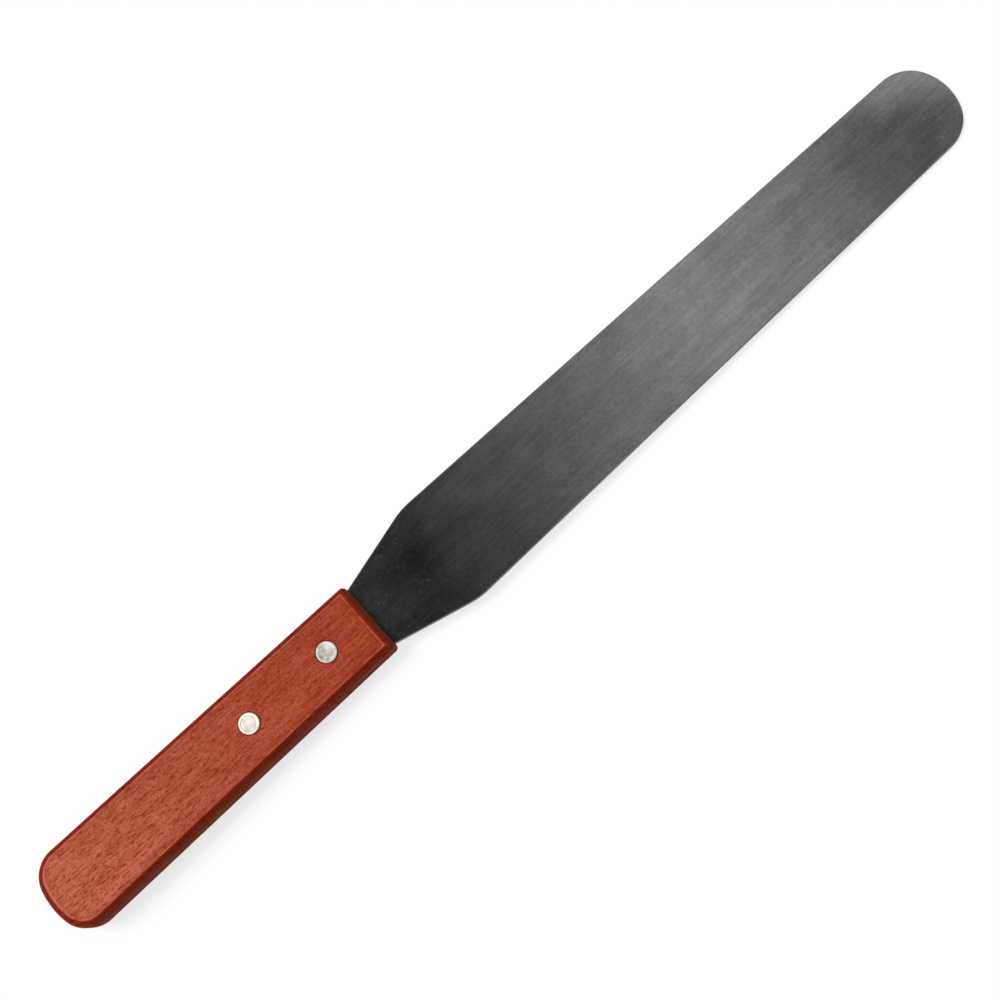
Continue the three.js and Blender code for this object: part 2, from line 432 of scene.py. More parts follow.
def pocket_cutter():
    end, half = TANG_END - POCKET_ROOM, TANG_WIDTH / 2 + POCKET_ROOM
    mouth = (HANDLE_FRONT + PAST, NECK_WIDTH / 2 + POCKET_ROOM + flare_slope * PAST)
    back, flare = (end, half), (flare_x, half)
    back_low, flare_low, mouth_low = ((x, -y) for x, y in (back, flare, mouth))
    outline = closed_outline([
        rounded_corner((end, 0), back_low, flare_low, TANG_CORNER_RADIUS),
        rounded_corner(back_low, flare_low, mouth_low, FLARE_FILLET),
        rounded_corner(flare_low, mouth_low, mouth, POCKET_ROOM),
        rounded_corner(mouth_low, mouth, flare, POCKET_ROOM),
        rounded_corner(mouth, flare, back, FLARE_FILLET),
        rounded_corner(flare, back, (end, 0), TANG_CORNER_RADIUS),
    ])
    steps = [(0, PARTING - POCKET_REACH), (0, PARTING + POCKET_REACH)]
    return stacked_solid("pocket", outline, steps)


def seat_cutter(x, turn):
    wide = SEAT_RADIUS - HOLE_RADIUS
    steps = [
        (wide, PARTING - PAST),
        (wide, SEAT),
        (0, SEAT),
        (0, HANDLE_TOP - SEAT_BEVEL),
        (-SEAT_BEVEL - PAST, HANDLE_TOP + PAST),
    ]
    return stacked_solid("seat", circle_outline(x, SEAT_RADIUS, ROUND_SIDES), turn(steps))


print("each half of the pocket is %.2f mm deep" % (POCKET_REACH / MM))

# %% Handle halves
JOINT_BEVEL = 0.06 * MM


def mark_rim(mesh, open_face):
    # The attribute is 0 on the given ring, where the open face ends, and around the rivets.
    # It is 1 everywhere else, so between that ring and the worn edge it grows from 0 to 1.
    places = np.array([v.co[:2] for v in mesh.vertices])
    away = np.array([np.abs(open_face - place).sum(axis=1).min() for place in places])
    on_ring = away < MERGE_DISTANCE
    at_seat = np.zeros(len(places), bool)
    for x in RIVET_X.values():
        at_seat |= np.linalg.norm(places - np.array([x, 0]), axis=1) < SEAT_RADIUS + PAST
    rim = mesh.attributes.new("rim", "FLOAT", "POINT")
    rim.data.foreach_set("value", np.where(on_ring | at_seat, 0.0, 1.0).astype(np.float32))


def handle_half(name, turn):
    joint = [(JOINT_BEVEL, PARTING), (0, PARTING + JOINT_BEVEL)]
    steps = joint + creased_edge(HANDLE_TOP)
    outline = handle_outline()
    half = stacked_solid(name, outline, turn(steps))
    cut_away(half, [pocket_cutter()] + [seat_cutter(x, turn) for x in RIVET_X.values()])
    mark_rim(half.data, drawn_in(outline, steps[-1][0]))
    finish_mesh(half.data)
    report(half)
    return half


upper_half = handle_half("upper_wood_half", list)
lower_half = handle_half("lower_wood_half", upside_down)

# %% [markdown]
# ## A small kit for finishes
# Every finish is a tree of shader nodes, and writing out each node would bury the finish itself, so a
# few helpers keep the trees short. One adds a node and fills its sockets, by a link where it is given a
# socket and by a number otherwise. One adds a noise whose patches have a given length and width, so
# that sizes can be read off the real surface. The rest split, map, reckon, add up and blend values, and
# stack bumps.

# %% Finish helpers
def add(tree, kind, sockets=None, **settings):
    node = tree.nodes.new(kind)
    for name, value in settings.items():
        setattr(node, name, value)
    for name, value in (sockets or {}).items():
        if isinstance(value, bpy.types.NodeSocket):
            tree.links.new(value, node.inputs[name])
        else:
            node.inputs[name].default_value = value
    return node


def new_finish(name):
    finish = bpy.data.materials.new(name)
    finish.use_nodes = True
    tree = finish.node_tree
    tree.nodes.clear()
    shader = add(tree, "ShaderNodeBsdfPrincipled")
    add(tree, "ShaderNodeOutputMaterial", {"Surface": shader.outputs["BSDF"]})
    return finish, tree, shader


def split(tree, vector):
    return add(tree, "ShaderNodeSeparateXYZ", {"Vector": vector}).outputs


def grain(tree, place, length, width, shift=(0, 0, 0), detail=2):
    # A noise with patches about this long along X and this wide along Y and Z.
    stretch = add(tree, "ShaderNodeMapping", {
        "Vector": place, "Location": shift, "Scale": (1 / length, 1 / width, 1 / width)})
    noise = add(tree, "ShaderNodeTexNoise", {
        "Vector": stretch.outputs["Vector"], "Scale": 1.0, "Detail": detail})
    return noise.outputs["Fac"]


def spread(tree, value, low, high, to_low=0.0, to_high=1.0, shape="LINEAR"):
    # Gives to_low at low and to_high at high, and holds them outside. Low may be the larger one.
    return add(tree, "ShaderNodeMapRange", {
        "Value": value, "From Min": low, "From Max": high, "To Min": to_low, "To Max": to_high,
    }, interpolation_type=shape).outputs["Result"]


def calc(tree, operation, first, second=0.0):
    return add(tree, "ShaderNodeMath", {0: first, 1: second}, operation=operation).outputs["Value"]


def weighted(tree, *layers):
    # Adds up values, each multiplied by its weight.
    total, *others = [calc(tree, "MULTIPLY", value, weight) for value, weight in layers]
    for other in others:
        total = calc(tree, "ADD", total, other)
    return total


def blended(tree, share, first, second):
    # A Mix node has sockets for every kind of data. Inputs 6 and 7 and output 2 are its colours.
    mix = add(tree, "ShaderNodeMix", {"Factor": share}, data_type="RGBA")
    for socket, colour in ((mix.inputs[6], first), (mix.inputs[7], second)):
        if isinstance(colour, bpy.types.NodeSocket):
            tree.links.new(colour, socket)
        else:
            socket.default_value = (*colour, 1)
    return mix.outputs[2]


def relief(tree, shader, layers):
    # Adds bumps to a shader, the coarsest first: each layer is a height and its depth in metres.
    normal = None
    for height, depth in layers:
        bump = add(tree, "ShaderNodeBump", {"Height": height, "Strength": 1.0, "Distance": depth})
        if normal is not None:
            tree.links.new(normal, bump.inputs["Normal"])
        normal = bump.outputs["Normal"]
    tree.links.new(normal, shader.inputs["Normal"])


print("finish helpers are ready")

# %% [markdown]
# ## Polished sheet steel
# The sheet is belt polished along its length, which leaves fine lines, and rolled sheet is never quite
# flat, so reflections drift a little. Hands and icing leave smudges and a thin film. An image could
# hold all that but would blur close up, so the finish adds up noises of known sizes. Lines, bands,
# mottle and smudges set the colour, and smudges and small specks set the roughness. The film scatters a
# little light, which a slightly lower metallic share does. A wide ripple, shorter waves and the lines
# go into a very shallow bump. The sheared edge of the sheet is rougher than its faces, and darker in
# colour, partly because a sheared edge is dull and partly as painted shade. It is found from the surface
# direction: only the edge doesn't point up or down.

# %% Steel finish
STEEL_DARK, STEEL_BRIGHT = (0.392, 0.410, 0.405), (0.590, 0.610, 0.604)
# The edge colour is darker partly because sheared steel is dull and partly as painted shade.
STEEL_SHEARED_AND_SHADED = (0.20, 0.20, 0.20)
STEEL_TONES = (0.45, 0.65)  # what the noises add up to where the steel is dark and where it is bright
SMUDGE_RANGE, SMUDGE_ROUGHNESS = (0.3, 0.7), (0.04, 0.065)
SPECK_RANGE, SPECK_ROUGHNESS = (0.56, 0.72), 0.04
FILM_RANGE, FILM_SHARE = (0.28, 0.74), 0.037
EDGE_LEVEL = (0.999, 0.95)  # how level the surface is where the edge starts and where it is complete
EDGE_ROUGHNESS = 0.3


def polished_steel():
    finish, tree, shader = new_finish("polished_steel")
    coordinates = add(tree, "ShaderNodeTexCoord").outputs
    place = coordinates["Object"]
    lines = grain(tree, place, length=13 * MM, width=0.36 * MM, detail=3)
    bands = grain(tree, place, length=60 * MM, width=1.3 * MM, shift=(4, 1, 0), detail=2)
    mottle = grain(tree, place, length=1.3 * MM, width=0.9 * MM, shift=(8, 3, 1), detail=2)
    smudge = grain(tree, place, length=9 * MM, width=6 * MM, shift=(2, 7, 3), detail=4)
    speck = grain(tree, place, length=0.9 * MM, width=0.7 * MM, shift=(6, 5, 2), detail=2)
    film = grain(tree, place, length=15 * MM, width=11 * MM, shift=(43, 28, 42), detail=4)
    ripple = grain(tree, place, length=40 * MM, width=28 * MM, shift=(9, 2, 5), detail=0)
    waves = grain(tree, place, length=17 * MM, width=13 * MM, shift=(1, 4, 8), detail=0)
    level = calc(tree, "ABSOLUTE", split(tree, coordinates["Normal"])["Z"])
    edge = spread(tree, level, *EDGE_LEVEL)
    tone = weighted(tree, (lines, 0.32), (bands, 0.18), (mottle, 0.30), (smudge, 0.30))
    face = blended(tree, spread(tree, tone, *STEEL_TONES), STEEL_DARK, STEEL_BRIGHT)
    tree.links.new(blended(tree, edge, face, STEEL_SHEARED_AND_SHADED), shader.inputs["Base Color"])
    roughness = weighted(
        tree, (spread(tree, smudge, *SMUDGE_RANGE, *SMUDGE_ROUGHNESS), 1.0),
        (spread(tree, speck, *SPECK_RANGE), SPECK_ROUGHNESS), (edge, EDGE_ROUGHNESS))
    tree.links.new(roughness, shader.inputs["Roughness"])
    metallic = spread(tree, film, *FILM_RANGE, 1.0, 1.0 - FILM_SHARE)
    tree.links.new(metallic, shader.inputs["Metallic"])
    relief(tree, shader, [(ripple, 0.02 * MM), (waves, 0.006 * MM), (lines, 0.0008 * MM)])
    return finish


steel = polished_steel()
print("steel finish has %d nodes" % len(steel.node_tree.nodes))

# %% [markdown]
# ## Stained wood
# The handle is a plain hardwood with a red-brown stain. Close up it has short fine fibres, small flecks,
# long soft clouds, and open pores that took more stain. Pale wood shines a little more than dark wood
# and pores. On the face the stain is deeper just inside the edge and paler toward the butt. On the walls
# shade is painted into the colour, darkest just under the edge and lighter lower down, where a painted
# reflection of the floor shows; the front end keeps the colour of the face until it is steep. Along the
# crease the colour is lighter in places, partly worn through and partly a painted highlight. Images
# would need one for each side, but solid noises go through the piece as real grain does, so that pores
# turn to dots on the end grain by themselves. Walls and crease are found from the surface direction, and
# the rim of the face from the attribute.

# %% Wood stain
# Stain at the front of the handle and at its butt, in dark wood and in pale wood.
FACE_DARK = ((0.235, 0.016, 0.0006), (0.305, 0.034, 0.003))
FACE_PALE = ((0.405, 0.059, 0.014), (0.520, 0.114, 0.045))
# Painted shade on the walls, just under the edge and lower down, where a painted reflection of the floor
# lightens it, in the same way.
SHADED_WALL_DARK = ((0.134, 0.0055, 0.0016), (0.32, 0.042, 0.017))
SHADED_WALL_PALE = ((0.210, 0.0155, 0.0054), (0.50, 0.118, 0.059))
# The second colour is the lighter one along the crease: partly worn wood and partly a painted highlight.
PORE_STAIN, WORN_WOOD_AND_HIGHLIGHT = (0.17, 0.012, 0.002), (0.56, 0.145, 0.08)
FADING = 1.6  # above one, the stain fades mostly near the butt
# The first share is how much of the deeper stain shows at the rim of the face, the second how much of the
# painted shade shows on the walls.
RIM_SHARE, WALL_PAINTED_SHADE_SHARE = 0.52, 0.92  # how much of the deeper stain shows there
WOOD_TONES, PORE_RANGE, WEAR_AND_HIGHLIGHT_RANGE = (0.315, 0.685), (0.60, 0.66), (0.32, 0.66)
PORE_SHARE = (0.4, 0.6)  # at the front, and where half of the fading is done
WEAR_AND_HIGHLIGHT_SHARE = (0.05, 0.9)
# How level a surface is where a change starts and where it is complete: 1 is flat, 0 is upright.
WALL_LEVEL, STEEP_LEVEL, LOWER_LEVEL = (0.95, 0.90), (0.80, 0.45), (0.72, 0.15)
CREASE_INSIDE, CREASE_OUTSIDE = (0.9995, 0.994), (0.94, 0.97)
FORWARD = (0.1, 0.35)  # how far a surface faces +X where the front end starts, and where it is full


def wood_grain(tree, place, shift):
    fibres = grain(tree, place, 5 * MM, 0.58 * MM, shift, detail=1)
    flecks = grain(tree, place, 0.55 * MM, 0.55 * MM, shift, detail=0)
    clouds = grain(tree, place, 16 * MM, 2.2 * MM, shift, detail=2)
    pores = grain(tree, place, 2.0 * MM, 0.42 * MM, shift, detail=1)
    tone = weighted(tree, (fibres, 0.41), (flecks, 0.33), (clouds, 0.26))
    return fibres, spread(tree, tone, *WOOD_TONES), spread(tree, pores, *PORE_RANGE)


def face_stain(tree, tone, faded):
    dark, pale = blended(tree, faded, *FACE_DARK), blended(tree, faded, *FACE_PALE)
    rim = add(tree, "ShaderNodeAttribute", attribute_name="rim").outputs["Fac"]
    return blended(tree, calc(tree, "MULTIPLY", rim, RIM_SHARE), blended(tree, tone, dark, pale), dark)


# Painted shade on the walls: darkest just under the edge, lighter lower down, where a painted reflection
# of the floor shows.
def painted_wall_shade(tree, tone, level):
    lower = spread(tree, level, *LOWER_LEVEL)
    dark, pale = blended(tree, lower, *SHADED_WALL_DARK), blended(tree, lower, *SHADED_WALL_PALE)
    return blended(tree, tone, dark, pale)


# Where the walls take the painted shade; the front end takes it only where it is steep.
def shaded_wall_share(tree, facing, level):
    not_front = calc(tree, "SUBTRACT", 1.0, spread(tree, facing["X"], *FORWARD))
    counts = calc(tree, "ADD", spread(tree, level, *STEEP_LEVEL), not_front)
    return calc(tree, "MINIMUM", spread(tree, level, *WALL_LEVEL), counts)


# The crease is lighter in patches: partly worn wood and partly a painted highlight.
def wear_and_highlight_share(tree, place, level, shift):
    crease = calc(
        tree, "MULTIPLY", spread(tree, level, *CREASE_INSIDE), spread(tree, level, *CREASE_OUTSIDE))
    wear_and_highlight_patches = grain(tree, place, 3 * MM, 2 * MM, shift, detail=4)
    return calc(tree, "MULTIPLY", crease, spread(tree, wear_and_highlight_patches, *WEAR_AND_HIGHLIGHT_RANGE, *WEAR_AND_HIGHLIGHT_SHARE))


print("stain of the face, darkest and palest:", FACE_DARK[0], FACE_PALE[1])

# %% Wood finish
WOOD_ROUGHNESS, WALL_ROUGHNESS = (0.36, 0.5), 0.4  # the first from plain wood to pores
SHINE, PORE_DULLNESS = (0.05, 0.15), 0.4


def stained_wood(name, shift):
    finish, tree, shader = new_finish(name)
    coordinates = add(tree, "ShaderNodeTexCoord").outputs
    place, facing = coordinates["Object"], split(tree, coordinates["Normal"])
    level = calc(tree, "ABSOLUTE", facing["Z"])
    fibres, tone, pore = wood_grain(tree, place, shift)
    toward_butt = spread(tree, split(tree, place)["X"], HANDLE_FRONT, HANDLE_BUTT)
    faded = calc(tree, "POWER", toward_butt, FADING)
    wall = shaded_wall_share(tree, facing, level)
    colour = face_stain(tree, tone, faded)
    # The painted shade of the walls goes over the stain there.
    colour = blended(tree, calc(tree, "MULTIPLY", wall, WALL_PAINTED_SHADE_SHARE), colour, painted_wall_shade(tree, tone, level))
    darkened = calc(tree, "MULTIPLY", pore, spread(tree, faded, 0.0, 0.5, *PORE_SHARE))
    colour = blended(tree, darkened, colour, PORE_STAIN)
    colour = blended(tree, wear_and_highlight_share(tree, place, level, shift), colour, WORN_WOOD_AND_HIGHLIGHT)
    tree.links.new(colour, shader.inputs["Base Color"])
    lacquer = spread(tree, pore, 0.0, 1.0, *WOOD_ROUGHNESS)
    tree.links.new(weighted(tree, (lacquer, 1.0), (wall, WALL_ROUGHNESS)), shader.inputs["Roughness"])
    sheen = weighted(tree, (tone, 1.0), (pore, -PORE_DULLNESS))
    tree.links.new(spread(tree, sheen, 0.0, 1.0, *SHINE), shader.inputs["Specular IOR Level"])
    relief(tree, shader, [(fibres, 0.01 * MM), (calc(tree, "SUBTRACT", 1.0, pore), 0.02 * MM)])
    return finish


upper_wood = stained_wood("upper_stained_wood", (0.0, 0.0, 0.0))
lower_wood = stained_wood("lower_stained_wood", (31.0, 17.0, 23.0))
print("wood finish has %d nodes" % len(upper_wood.node_tree.nodes))

# %% [markdown]
# ## Turned rivet metal
# The heads are soft white metal, turned on a lathe and then pressed together, so they carry fine rings
# about their own axis and small marks from the press. One side of each head is darker in patches, which
# is painted shade. Their rims are rubbed brighter, and the front pair is painted darker than the rear
# one, as shade. The rings could be cut into the mesh, but they are too fine for it, so they are a noise
# of the distance from the axis. A Mapping node centres the pattern on each rivet, since all pieces share
# one origin.

# %% Rivet finish
# Each place has a lit colour, a colour with painted shade for one side, and a colour for the rubbed rim.
# The front colours are darker all through, which is painted shade.
RIVET_LIT_AND_SHADED_COLOURS = {  # bright, dull, and rubbed at the rim
    "front": ((0.49, 0.47, 0.44), (0.11, 0.10, 0.095), (0.59, 0.55, 0.505)),
    "rear": ((0.60, 0.565, 0.51), (0.50, 0.46, 0.38), (0.69, 0.645, 0.58)),
}
RIVET_SHIFT = {"front": (5, 2, 0), "rear": (1, 8, 3)}
RING_PITCH = 0.12 * MM
# The side of each head that takes the painted shade runs along X.
PAINTED_SHADE_SIDE = (0.6 * HEAD_RADIUS, -HEAD_RADIUS)  # along X, from where it is bright to where it is dull
PAINTED_SHADE_RANGE = (0.25, 0.6)
MARK_RANGE, MARK_SHARE = (0.55, 0.70), 0.45
RUBBED_RIM, RUBBED_SHARE = (0.66 * HEAD_RADIUS, 0.76 * HEAD_RADIUS), 0.5
ROUGH_RANGE, HEAD_ROUGHNESS = (0.3, 0.7), (0.58, 0.7)


def turned_metal(name, x, colours, shift):
    bright, painted_shade, rubbed = colours
    finish, tree, shader = new_finish(name)
    place = add(tree, "ShaderNodeTexCoord").outputs["Object"]
    centred = add(tree, "ShaderNodeMapping", {"Vector": place, "Location": (-x, 0, 0)}).outputs["Vector"]
    parts = split(tree, centred)
    squares = [calc(tree, "POWER", parts[axis], 2.0) for axis in ("X", "Y")]
    radius = calc(tree, "SQRT", calc(tree, "ADD", *squares))
    rings = add(tree, "ShaderNodeTexNoise", {
        "W": calc(tree, "DIVIDE", radius, RING_PITCH), "Scale": 1.0, "Detail": 2.0,
    }, noise_dimensions="1D").outputs["Fac"]
    patches = grain(tree, centred, 1.6 * MM, 1.6 * MM, shift, detail=3)
    marks = grain(tree, centred, 0.35 * MM, 0.35 * MM, shift, detail=3)
    # Painted shade on one side of the head, in patches, together with the press marks.
    shaded_side = spread(tree, parts["X"], *PAINTED_SHADE_SIDE)
    shade_and_marks = calc(tree, "MULTIPLY", shaded_side, spread(tree, patches, *PAINTED_SHADE_RANGE))
    shade_and_marks = calc(tree, "MAXIMUM", shade_and_marks, spread(tree, marks, *MARK_RANGE, 0.0, MARK_SHARE))
    rim = spread(tree, radius, *RUBBED_RIM, 0.0, RUBBED_SHARE)
    colour = blended(tree, rim, blended(tree, shade_and_marks, bright, painted_shade), rubbed)
    tree.links.new(colour, shader.inputs["Base Color"])
    tree.links.new(spread(tree, patches, *ROUGH_RANGE, *HEAD_ROUGHNESS), shader.inputs["Roughness"])
    shader.inputs["Metallic"].default_value = 1.0
    relief(tree, shader, [(marks, 0.03 * MM), (rings, 0.006 * MM)])
    return finish


rivet_finish = {
    place: turned_metal(place + "_rivet_metal", x, RIVET_LIT_AND_SHADED_COLOURS[place], RIVET_SHIFT[place])
    for place, x in RIVET_X.items()
}
print("rivet finishes:", [finish.name for finish in rivet_finish.values()])

# %% [markdown]
# ## The rivets
# Four rivet halves repeat one rule: a profile turned about an upright axis. A Screw modifier could turn
# a profile too, but Geometry Nodes can also build the profile from named sizes. The tree places its
# corners, rounds them, and then bends a flat grid round the axis: every column of the grid takes the
# shape of the profile. The post is the same profile with a bore of no size. Real heads have a rounded
# rim and a shallow turned ring.

# %% Rivet profile
RIVET_SIZES = (
    "Head Radius", "Head Height", "Shank Radius", "Shank Length", "Bore Radius", "Bore Depth",
    "Rim Round", "Ring Radius", "Ring Width", "Ring Depth", "Dish", "Heading",
)
SMALL_ROUND = 0.06 * MM
ROUND_STEPS = 5
RIM_CORNER = 6  # counted from 0 along the profile's corners


def profile_corners(tree, size):
    # Radius and height of each corner, from the axis at the foot to the axis at the top.
    foot = calc(tree, "MULTIPLY", size["Shank Length"], -1.0)
    bore_floor = calc(tree, "ADD", foot, size["Bore Depth"])
    half_ring = calc(tree, "MULTIPLY", size["Ring Width"], 0.5)
    ring_outer = calc(tree, "ADD", size["Ring Radius"], half_ring)
    ring_inner = calc(tree, "SUBTRACT", size["Ring Radius"], half_ring)
    ring_floor = calc(tree, "SUBTRACT", size["Head Height"], size["Ring Depth"])
    centre_top = calc(tree, "SUBTRACT", size["Head Height"], size["Dish"])
    return [
        (0.0, bore_floor), (size["Bore Radius"], bore_floor), (size["Bore Radius"], foot),
        (size["Shank Radius"], foot), (size["Shank Radius"], 0.0), (size["Head Radius"], 0.0),
        (size["Head Radius"], size["Head Height"]), (ring_outer, size["Head Height"]),
        (size["Ring Radius"], ring_floor), (ring_inner, centre_top), (0.0, centre_top),
    ]


def rounded_profile(tree, size):
    corners = profile_corners(tree, size)
    index = add(tree, "GeometryNodeInputIndex").outputs["Index"]
    choose = add(tree, "GeometryNodeIndexSwitch", data_type="VECTOR")
    while len(choose.index_switch_items) < len(corners):
        choose.index_switch_items.new()
    tree.links.new(index, choose.inputs["Index"])
    for number, (radius, height) in enumerate(corners):
        corner = add(tree, "ShaderNodeCombineXYZ", {"X": radius, "Z": height})
        tree.links.new(corner.outputs["Vector"], choose.inputs[number + 1])
    line = add(tree, "GeometryNodeMeshLine", {"Count": len(corners)})
    placed = add(tree, "GeometryNodeSetPosition", {
        "Geometry": line.outputs["Mesh"], "Position": choose.outputs["Output"]})
    curve = add(tree, "GeometryNodeMeshToCurve", {"Mesh": placed.outputs["Geometry"]})
    at_rim = add(
        tree, "FunctionNodeCompare", {2: index, 3: RIM_CORNER}, data_type="INT", operation="EQUAL")
    rounding = add(tree, "GeometryNodeSwitch", {
        "Switch": at_rim.outputs["Result"], "False": SMALL_ROUND, "True": size["Rim Round"],
    }, input_type="FLOAT")
    fillet = add(tree, "GeometryNodeFilletCurve", {
        "Curve": curve.outputs["Curve"], "Count": ROUND_STEPS, "Radius": rounding.outputs["Output"],
        "Limit Radius": True}, mode="POLY")
    return fillet.outputs["Curve"]


print("the profile follows from %d sizes" % len(RIVET_SIZES))

# %% Rivet tree
def bent_grid(tree, size, profile):
    count = add(tree, "GeometryNodeAttributeDomainSize", {"Geometry": profile}, component="CURVE")
    points = count.outputs["Point Count"]
    grid = add(tree, "GeometryNodeMeshGrid", {"Vertices X": ROUND_SIDES + 1, "Vertices Y": points})
    index = add(tree, "GeometryNodeInputIndex").outputs["Index"]
    spoke = calc(tree, "FLOOR", calc(tree, "DIVIDE", calc(tree, "ADD", index, 0.5), points))
    step = calc(tree, "SUBTRACT", index, calc(tree, "MULTIPLY", spoke, points))
    position = add(tree, "GeometryNodeInputPosition").outputs["Position"]
    sample = add(tree, "GeometryNodeSampleIndex", {
        "Geometry": profile, "Value": position, "Index": step,
    }, data_type="FLOAT_VECTOR", domain="POINT")
    corner = split(tree, sample.outputs["Value"])
    angle = calc(tree, "MULTIPLY", spoke, math.tau / ROUND_SIDES)
    bent = add(tree, "ShaderNodeCombineXYZ", {
        "X": calc(tree, "MULTIPLY", corner["X"], calc(tree, "COSINE", angle)),
        "Y": calc(tree, "MULTIPLY", corner["X"], calc(tree, "SINE", angle)),
        "Z": calc(tree, "MULTIPLY", corner["Z"], size["Heading"])})
    seated = add(tree, "ShaderNodeVectorMath", {
        0: bent.outputs["Vector"], 1: size["Seat"]}, operation="ADD")
    return add(tree, "GeometryNodeSetPosition", {
        "Geometry": grid.outputs["Mesh"], "Position": seated.outputs["Vector"]}).outputs["Geometry"]


def rivet_tree():
    tree = bpy.data.node_groups.new("turned_rivet", "GeometryNodeTree")
    kinds = {name: "NodeSocketFloat" for name in RIVET_SIZES}
    kinds.update({"Seat": "NodeSocketVector", "Finish": "NodeSocketMaterial"})
    inputs = {}
    for name, kind in kinds.items():
        inputs[name] = tree.interface.new_socket(name, in_out="INPUT", socket_type=kind).identifier
    tree.interface.new_socket("Rivet", in_out="OUTPUT", socket_type="NodeSocketGeometry")
    size = add(tree, "NodeGroupInput").outputs
    turned = bent_grid(tree, size, rounded_profile(tree, size))
    merged = add(tree, "GeometryNodeMergeByDistance", {"Geometry": turned, "Distance": MERGE_DISTANCE})
    real = add(tree, "GeometryNodeRealizeInstances", {"Geometry": merged.outputs["Geometry"]})
    dressed = add(tree, "GeometryNodeSetMaterial", {
        "Geometry": real.outputs["Geometry"], "Material": size["Finish"]})
    add(tree, "NodeGroupOutput", {"Rivet": dressed.outputs["Geometry"]})
    return tree, inputs


turned_rivet, rivet_inputs = rivet_tree()
print("rivet tree has %d nodes and %d inputs" % (len(turned_rivet.nodes), len(rivet_inputs)))

# %% [markdown]
# ## Posts and sockets
# On the real tool the pin of a post is pressed into the tube of a socket, and the two heads hold wood and
# steel together. A rivet could be made as one piece, but two halves match the solids one for one. Each
# half is the tree with its own sizes: a solid pin from above, or a tube from below. The result is made
# a plain mesh, and its normals are recalculated, since a half that heads down comes out of the tree
# mirrored.

# %% Rivet halves
PIN_RADIUS = 1.2 * MM
BORE_RADIUS = 1.35 * MM
TUBE_RADIUS = 2 * MM
END_GAP = 0.3 * MM  # from the end of a shank to the other half's head
SHANK_LENGTH = 2 * (SEAT - PARTING) - END_GAP

head_sizes = {
    "Head Radius": HEAD_RADIUS, "Head Height": HEAD_HEIGHT, "Shank Length": SHANK_LENGTH,
    "Rim Round": 0.25 * MM, "Ring Radius": 0.7 * HEAD_RADIUS, "Ring Width": 0.5 * MM,
    "Dish": 0.03 * MM,
}
ring_depth = {"front": 0.03 * MM, "rear": 0.07 * MM}
post_sizes = {"Shank Radius": PIN_RADIUS, "Bore Radius": 0.0, "Bore Depth": 0.0, "Heading": 1.0}
socket_sizes = {
    "Shank Radius": TUBE_RADIUS, "Bore Radius": BORE_RADIUS, "Bore Depth": SHANK_LENGTH, "Heading": -1.0}


def face_outward(mesh):
    bm = bmesh.new()
    bm.from_mesh(mesh)
    bmesh.ops.recalc_face_normals(bm, faces=bm.faces)
    bm.to_mesh(mesh)
    bm.free()


def rivet_half(name, place, sizes):
    seat = (RIVET_X[place], 0.0, PARTING + sizes["Heading"] * (SEAT - PARTING))
    half = bpy.data.objects.new(name, bpy.data.meshes.new(name))
    scene.collection.objects.link(half)
    turn = half.modifiers.new("turn", "NODES")
    turn.node_group = turned_rivet
    values = {**head_sizes, **sizes, "Ring Depth": ring_depth[place]}
    values.update({"Seat": seat, "Finish": rivet_finish[place]})
    for size, value in values.items():
        turn[rivet_inputs[size]] = value
    keep_result(half)
    face_outward(half.data)
    finish_mesh(half.data)
    report(half)
    return half


rivet_halves = {}
for place in RIVET_X:
    rivet_halves[place + "_rivet_post"] = rivet_half(place + "_rivet_upper_half", place, post_sizes)
    rivet_halves[place + "_rivet_socket"] = rivet_half(place + "_rivet_lower_half", place, socket_sizes)

# %% [markdown]
# ## Dressing the pieces
# The blade and the handle take their finishes here, while the rivets have theirs from the tree. Each
# finer piece rides on the one body that the tool has, and stands for the solid of the frame with the
# same place.

# %% Dress the pieces
for piece, finish in ((blade, steel), (upper_half, upper_wood), (lower_half, lower_wood)):
    piece.data.materials.clear()
    piece.data.materials.append(finish)

dressed = {"blade": (blade, "blade_steel"), "upper_scale": (upper_half, "handle_wood"),
           "lower_scale": (lower_half, "handle_wood")}
dressed.update({node: (half, "rivet_metal") for node, half in rivet_halves.items()})
for node, (piece, slot) in dressed.items():
    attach(piece, "root")
    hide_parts(node)
print("dressed:", sorted(dressed))

# %% [markdown]
# ## The floor
# Laid down, the tool rests on its front rivet and the tip of the blade, because the handle lifts the
# sheet off the table and the blade is the heavier end. The frame's pieces can't be turned, so the
# floor is tilted by that small angle instead. To the eye and in reflections it is white paper with the
# tool's soft shadow, and a glow of its own keeps it white all over. To the light that it throws back at
# the tool it is a duller sheet, so that the walls stay dark.

# %% Floor
FLOOR_RADIUS = 4.0
FLOOR_SIDES = 64
PAPER_BOUNCE = 0.3
PAPER_GLOW = 0.75
WHITE = (1.0, 1.0, 1.0)
pivot_x = RIVET_X["front"] + HEAD_RADIUS
floor_slope = (PARTING - SHEET / 2) / (TIP - pivot_x)


def light_path_is_seen(tree):
    path = add(tree, "ShaderNodeLightPath").outputs
    return calc(tree, "MAXIMUM", path["Is Camera Ray"], path["Is Glossy Ray"])


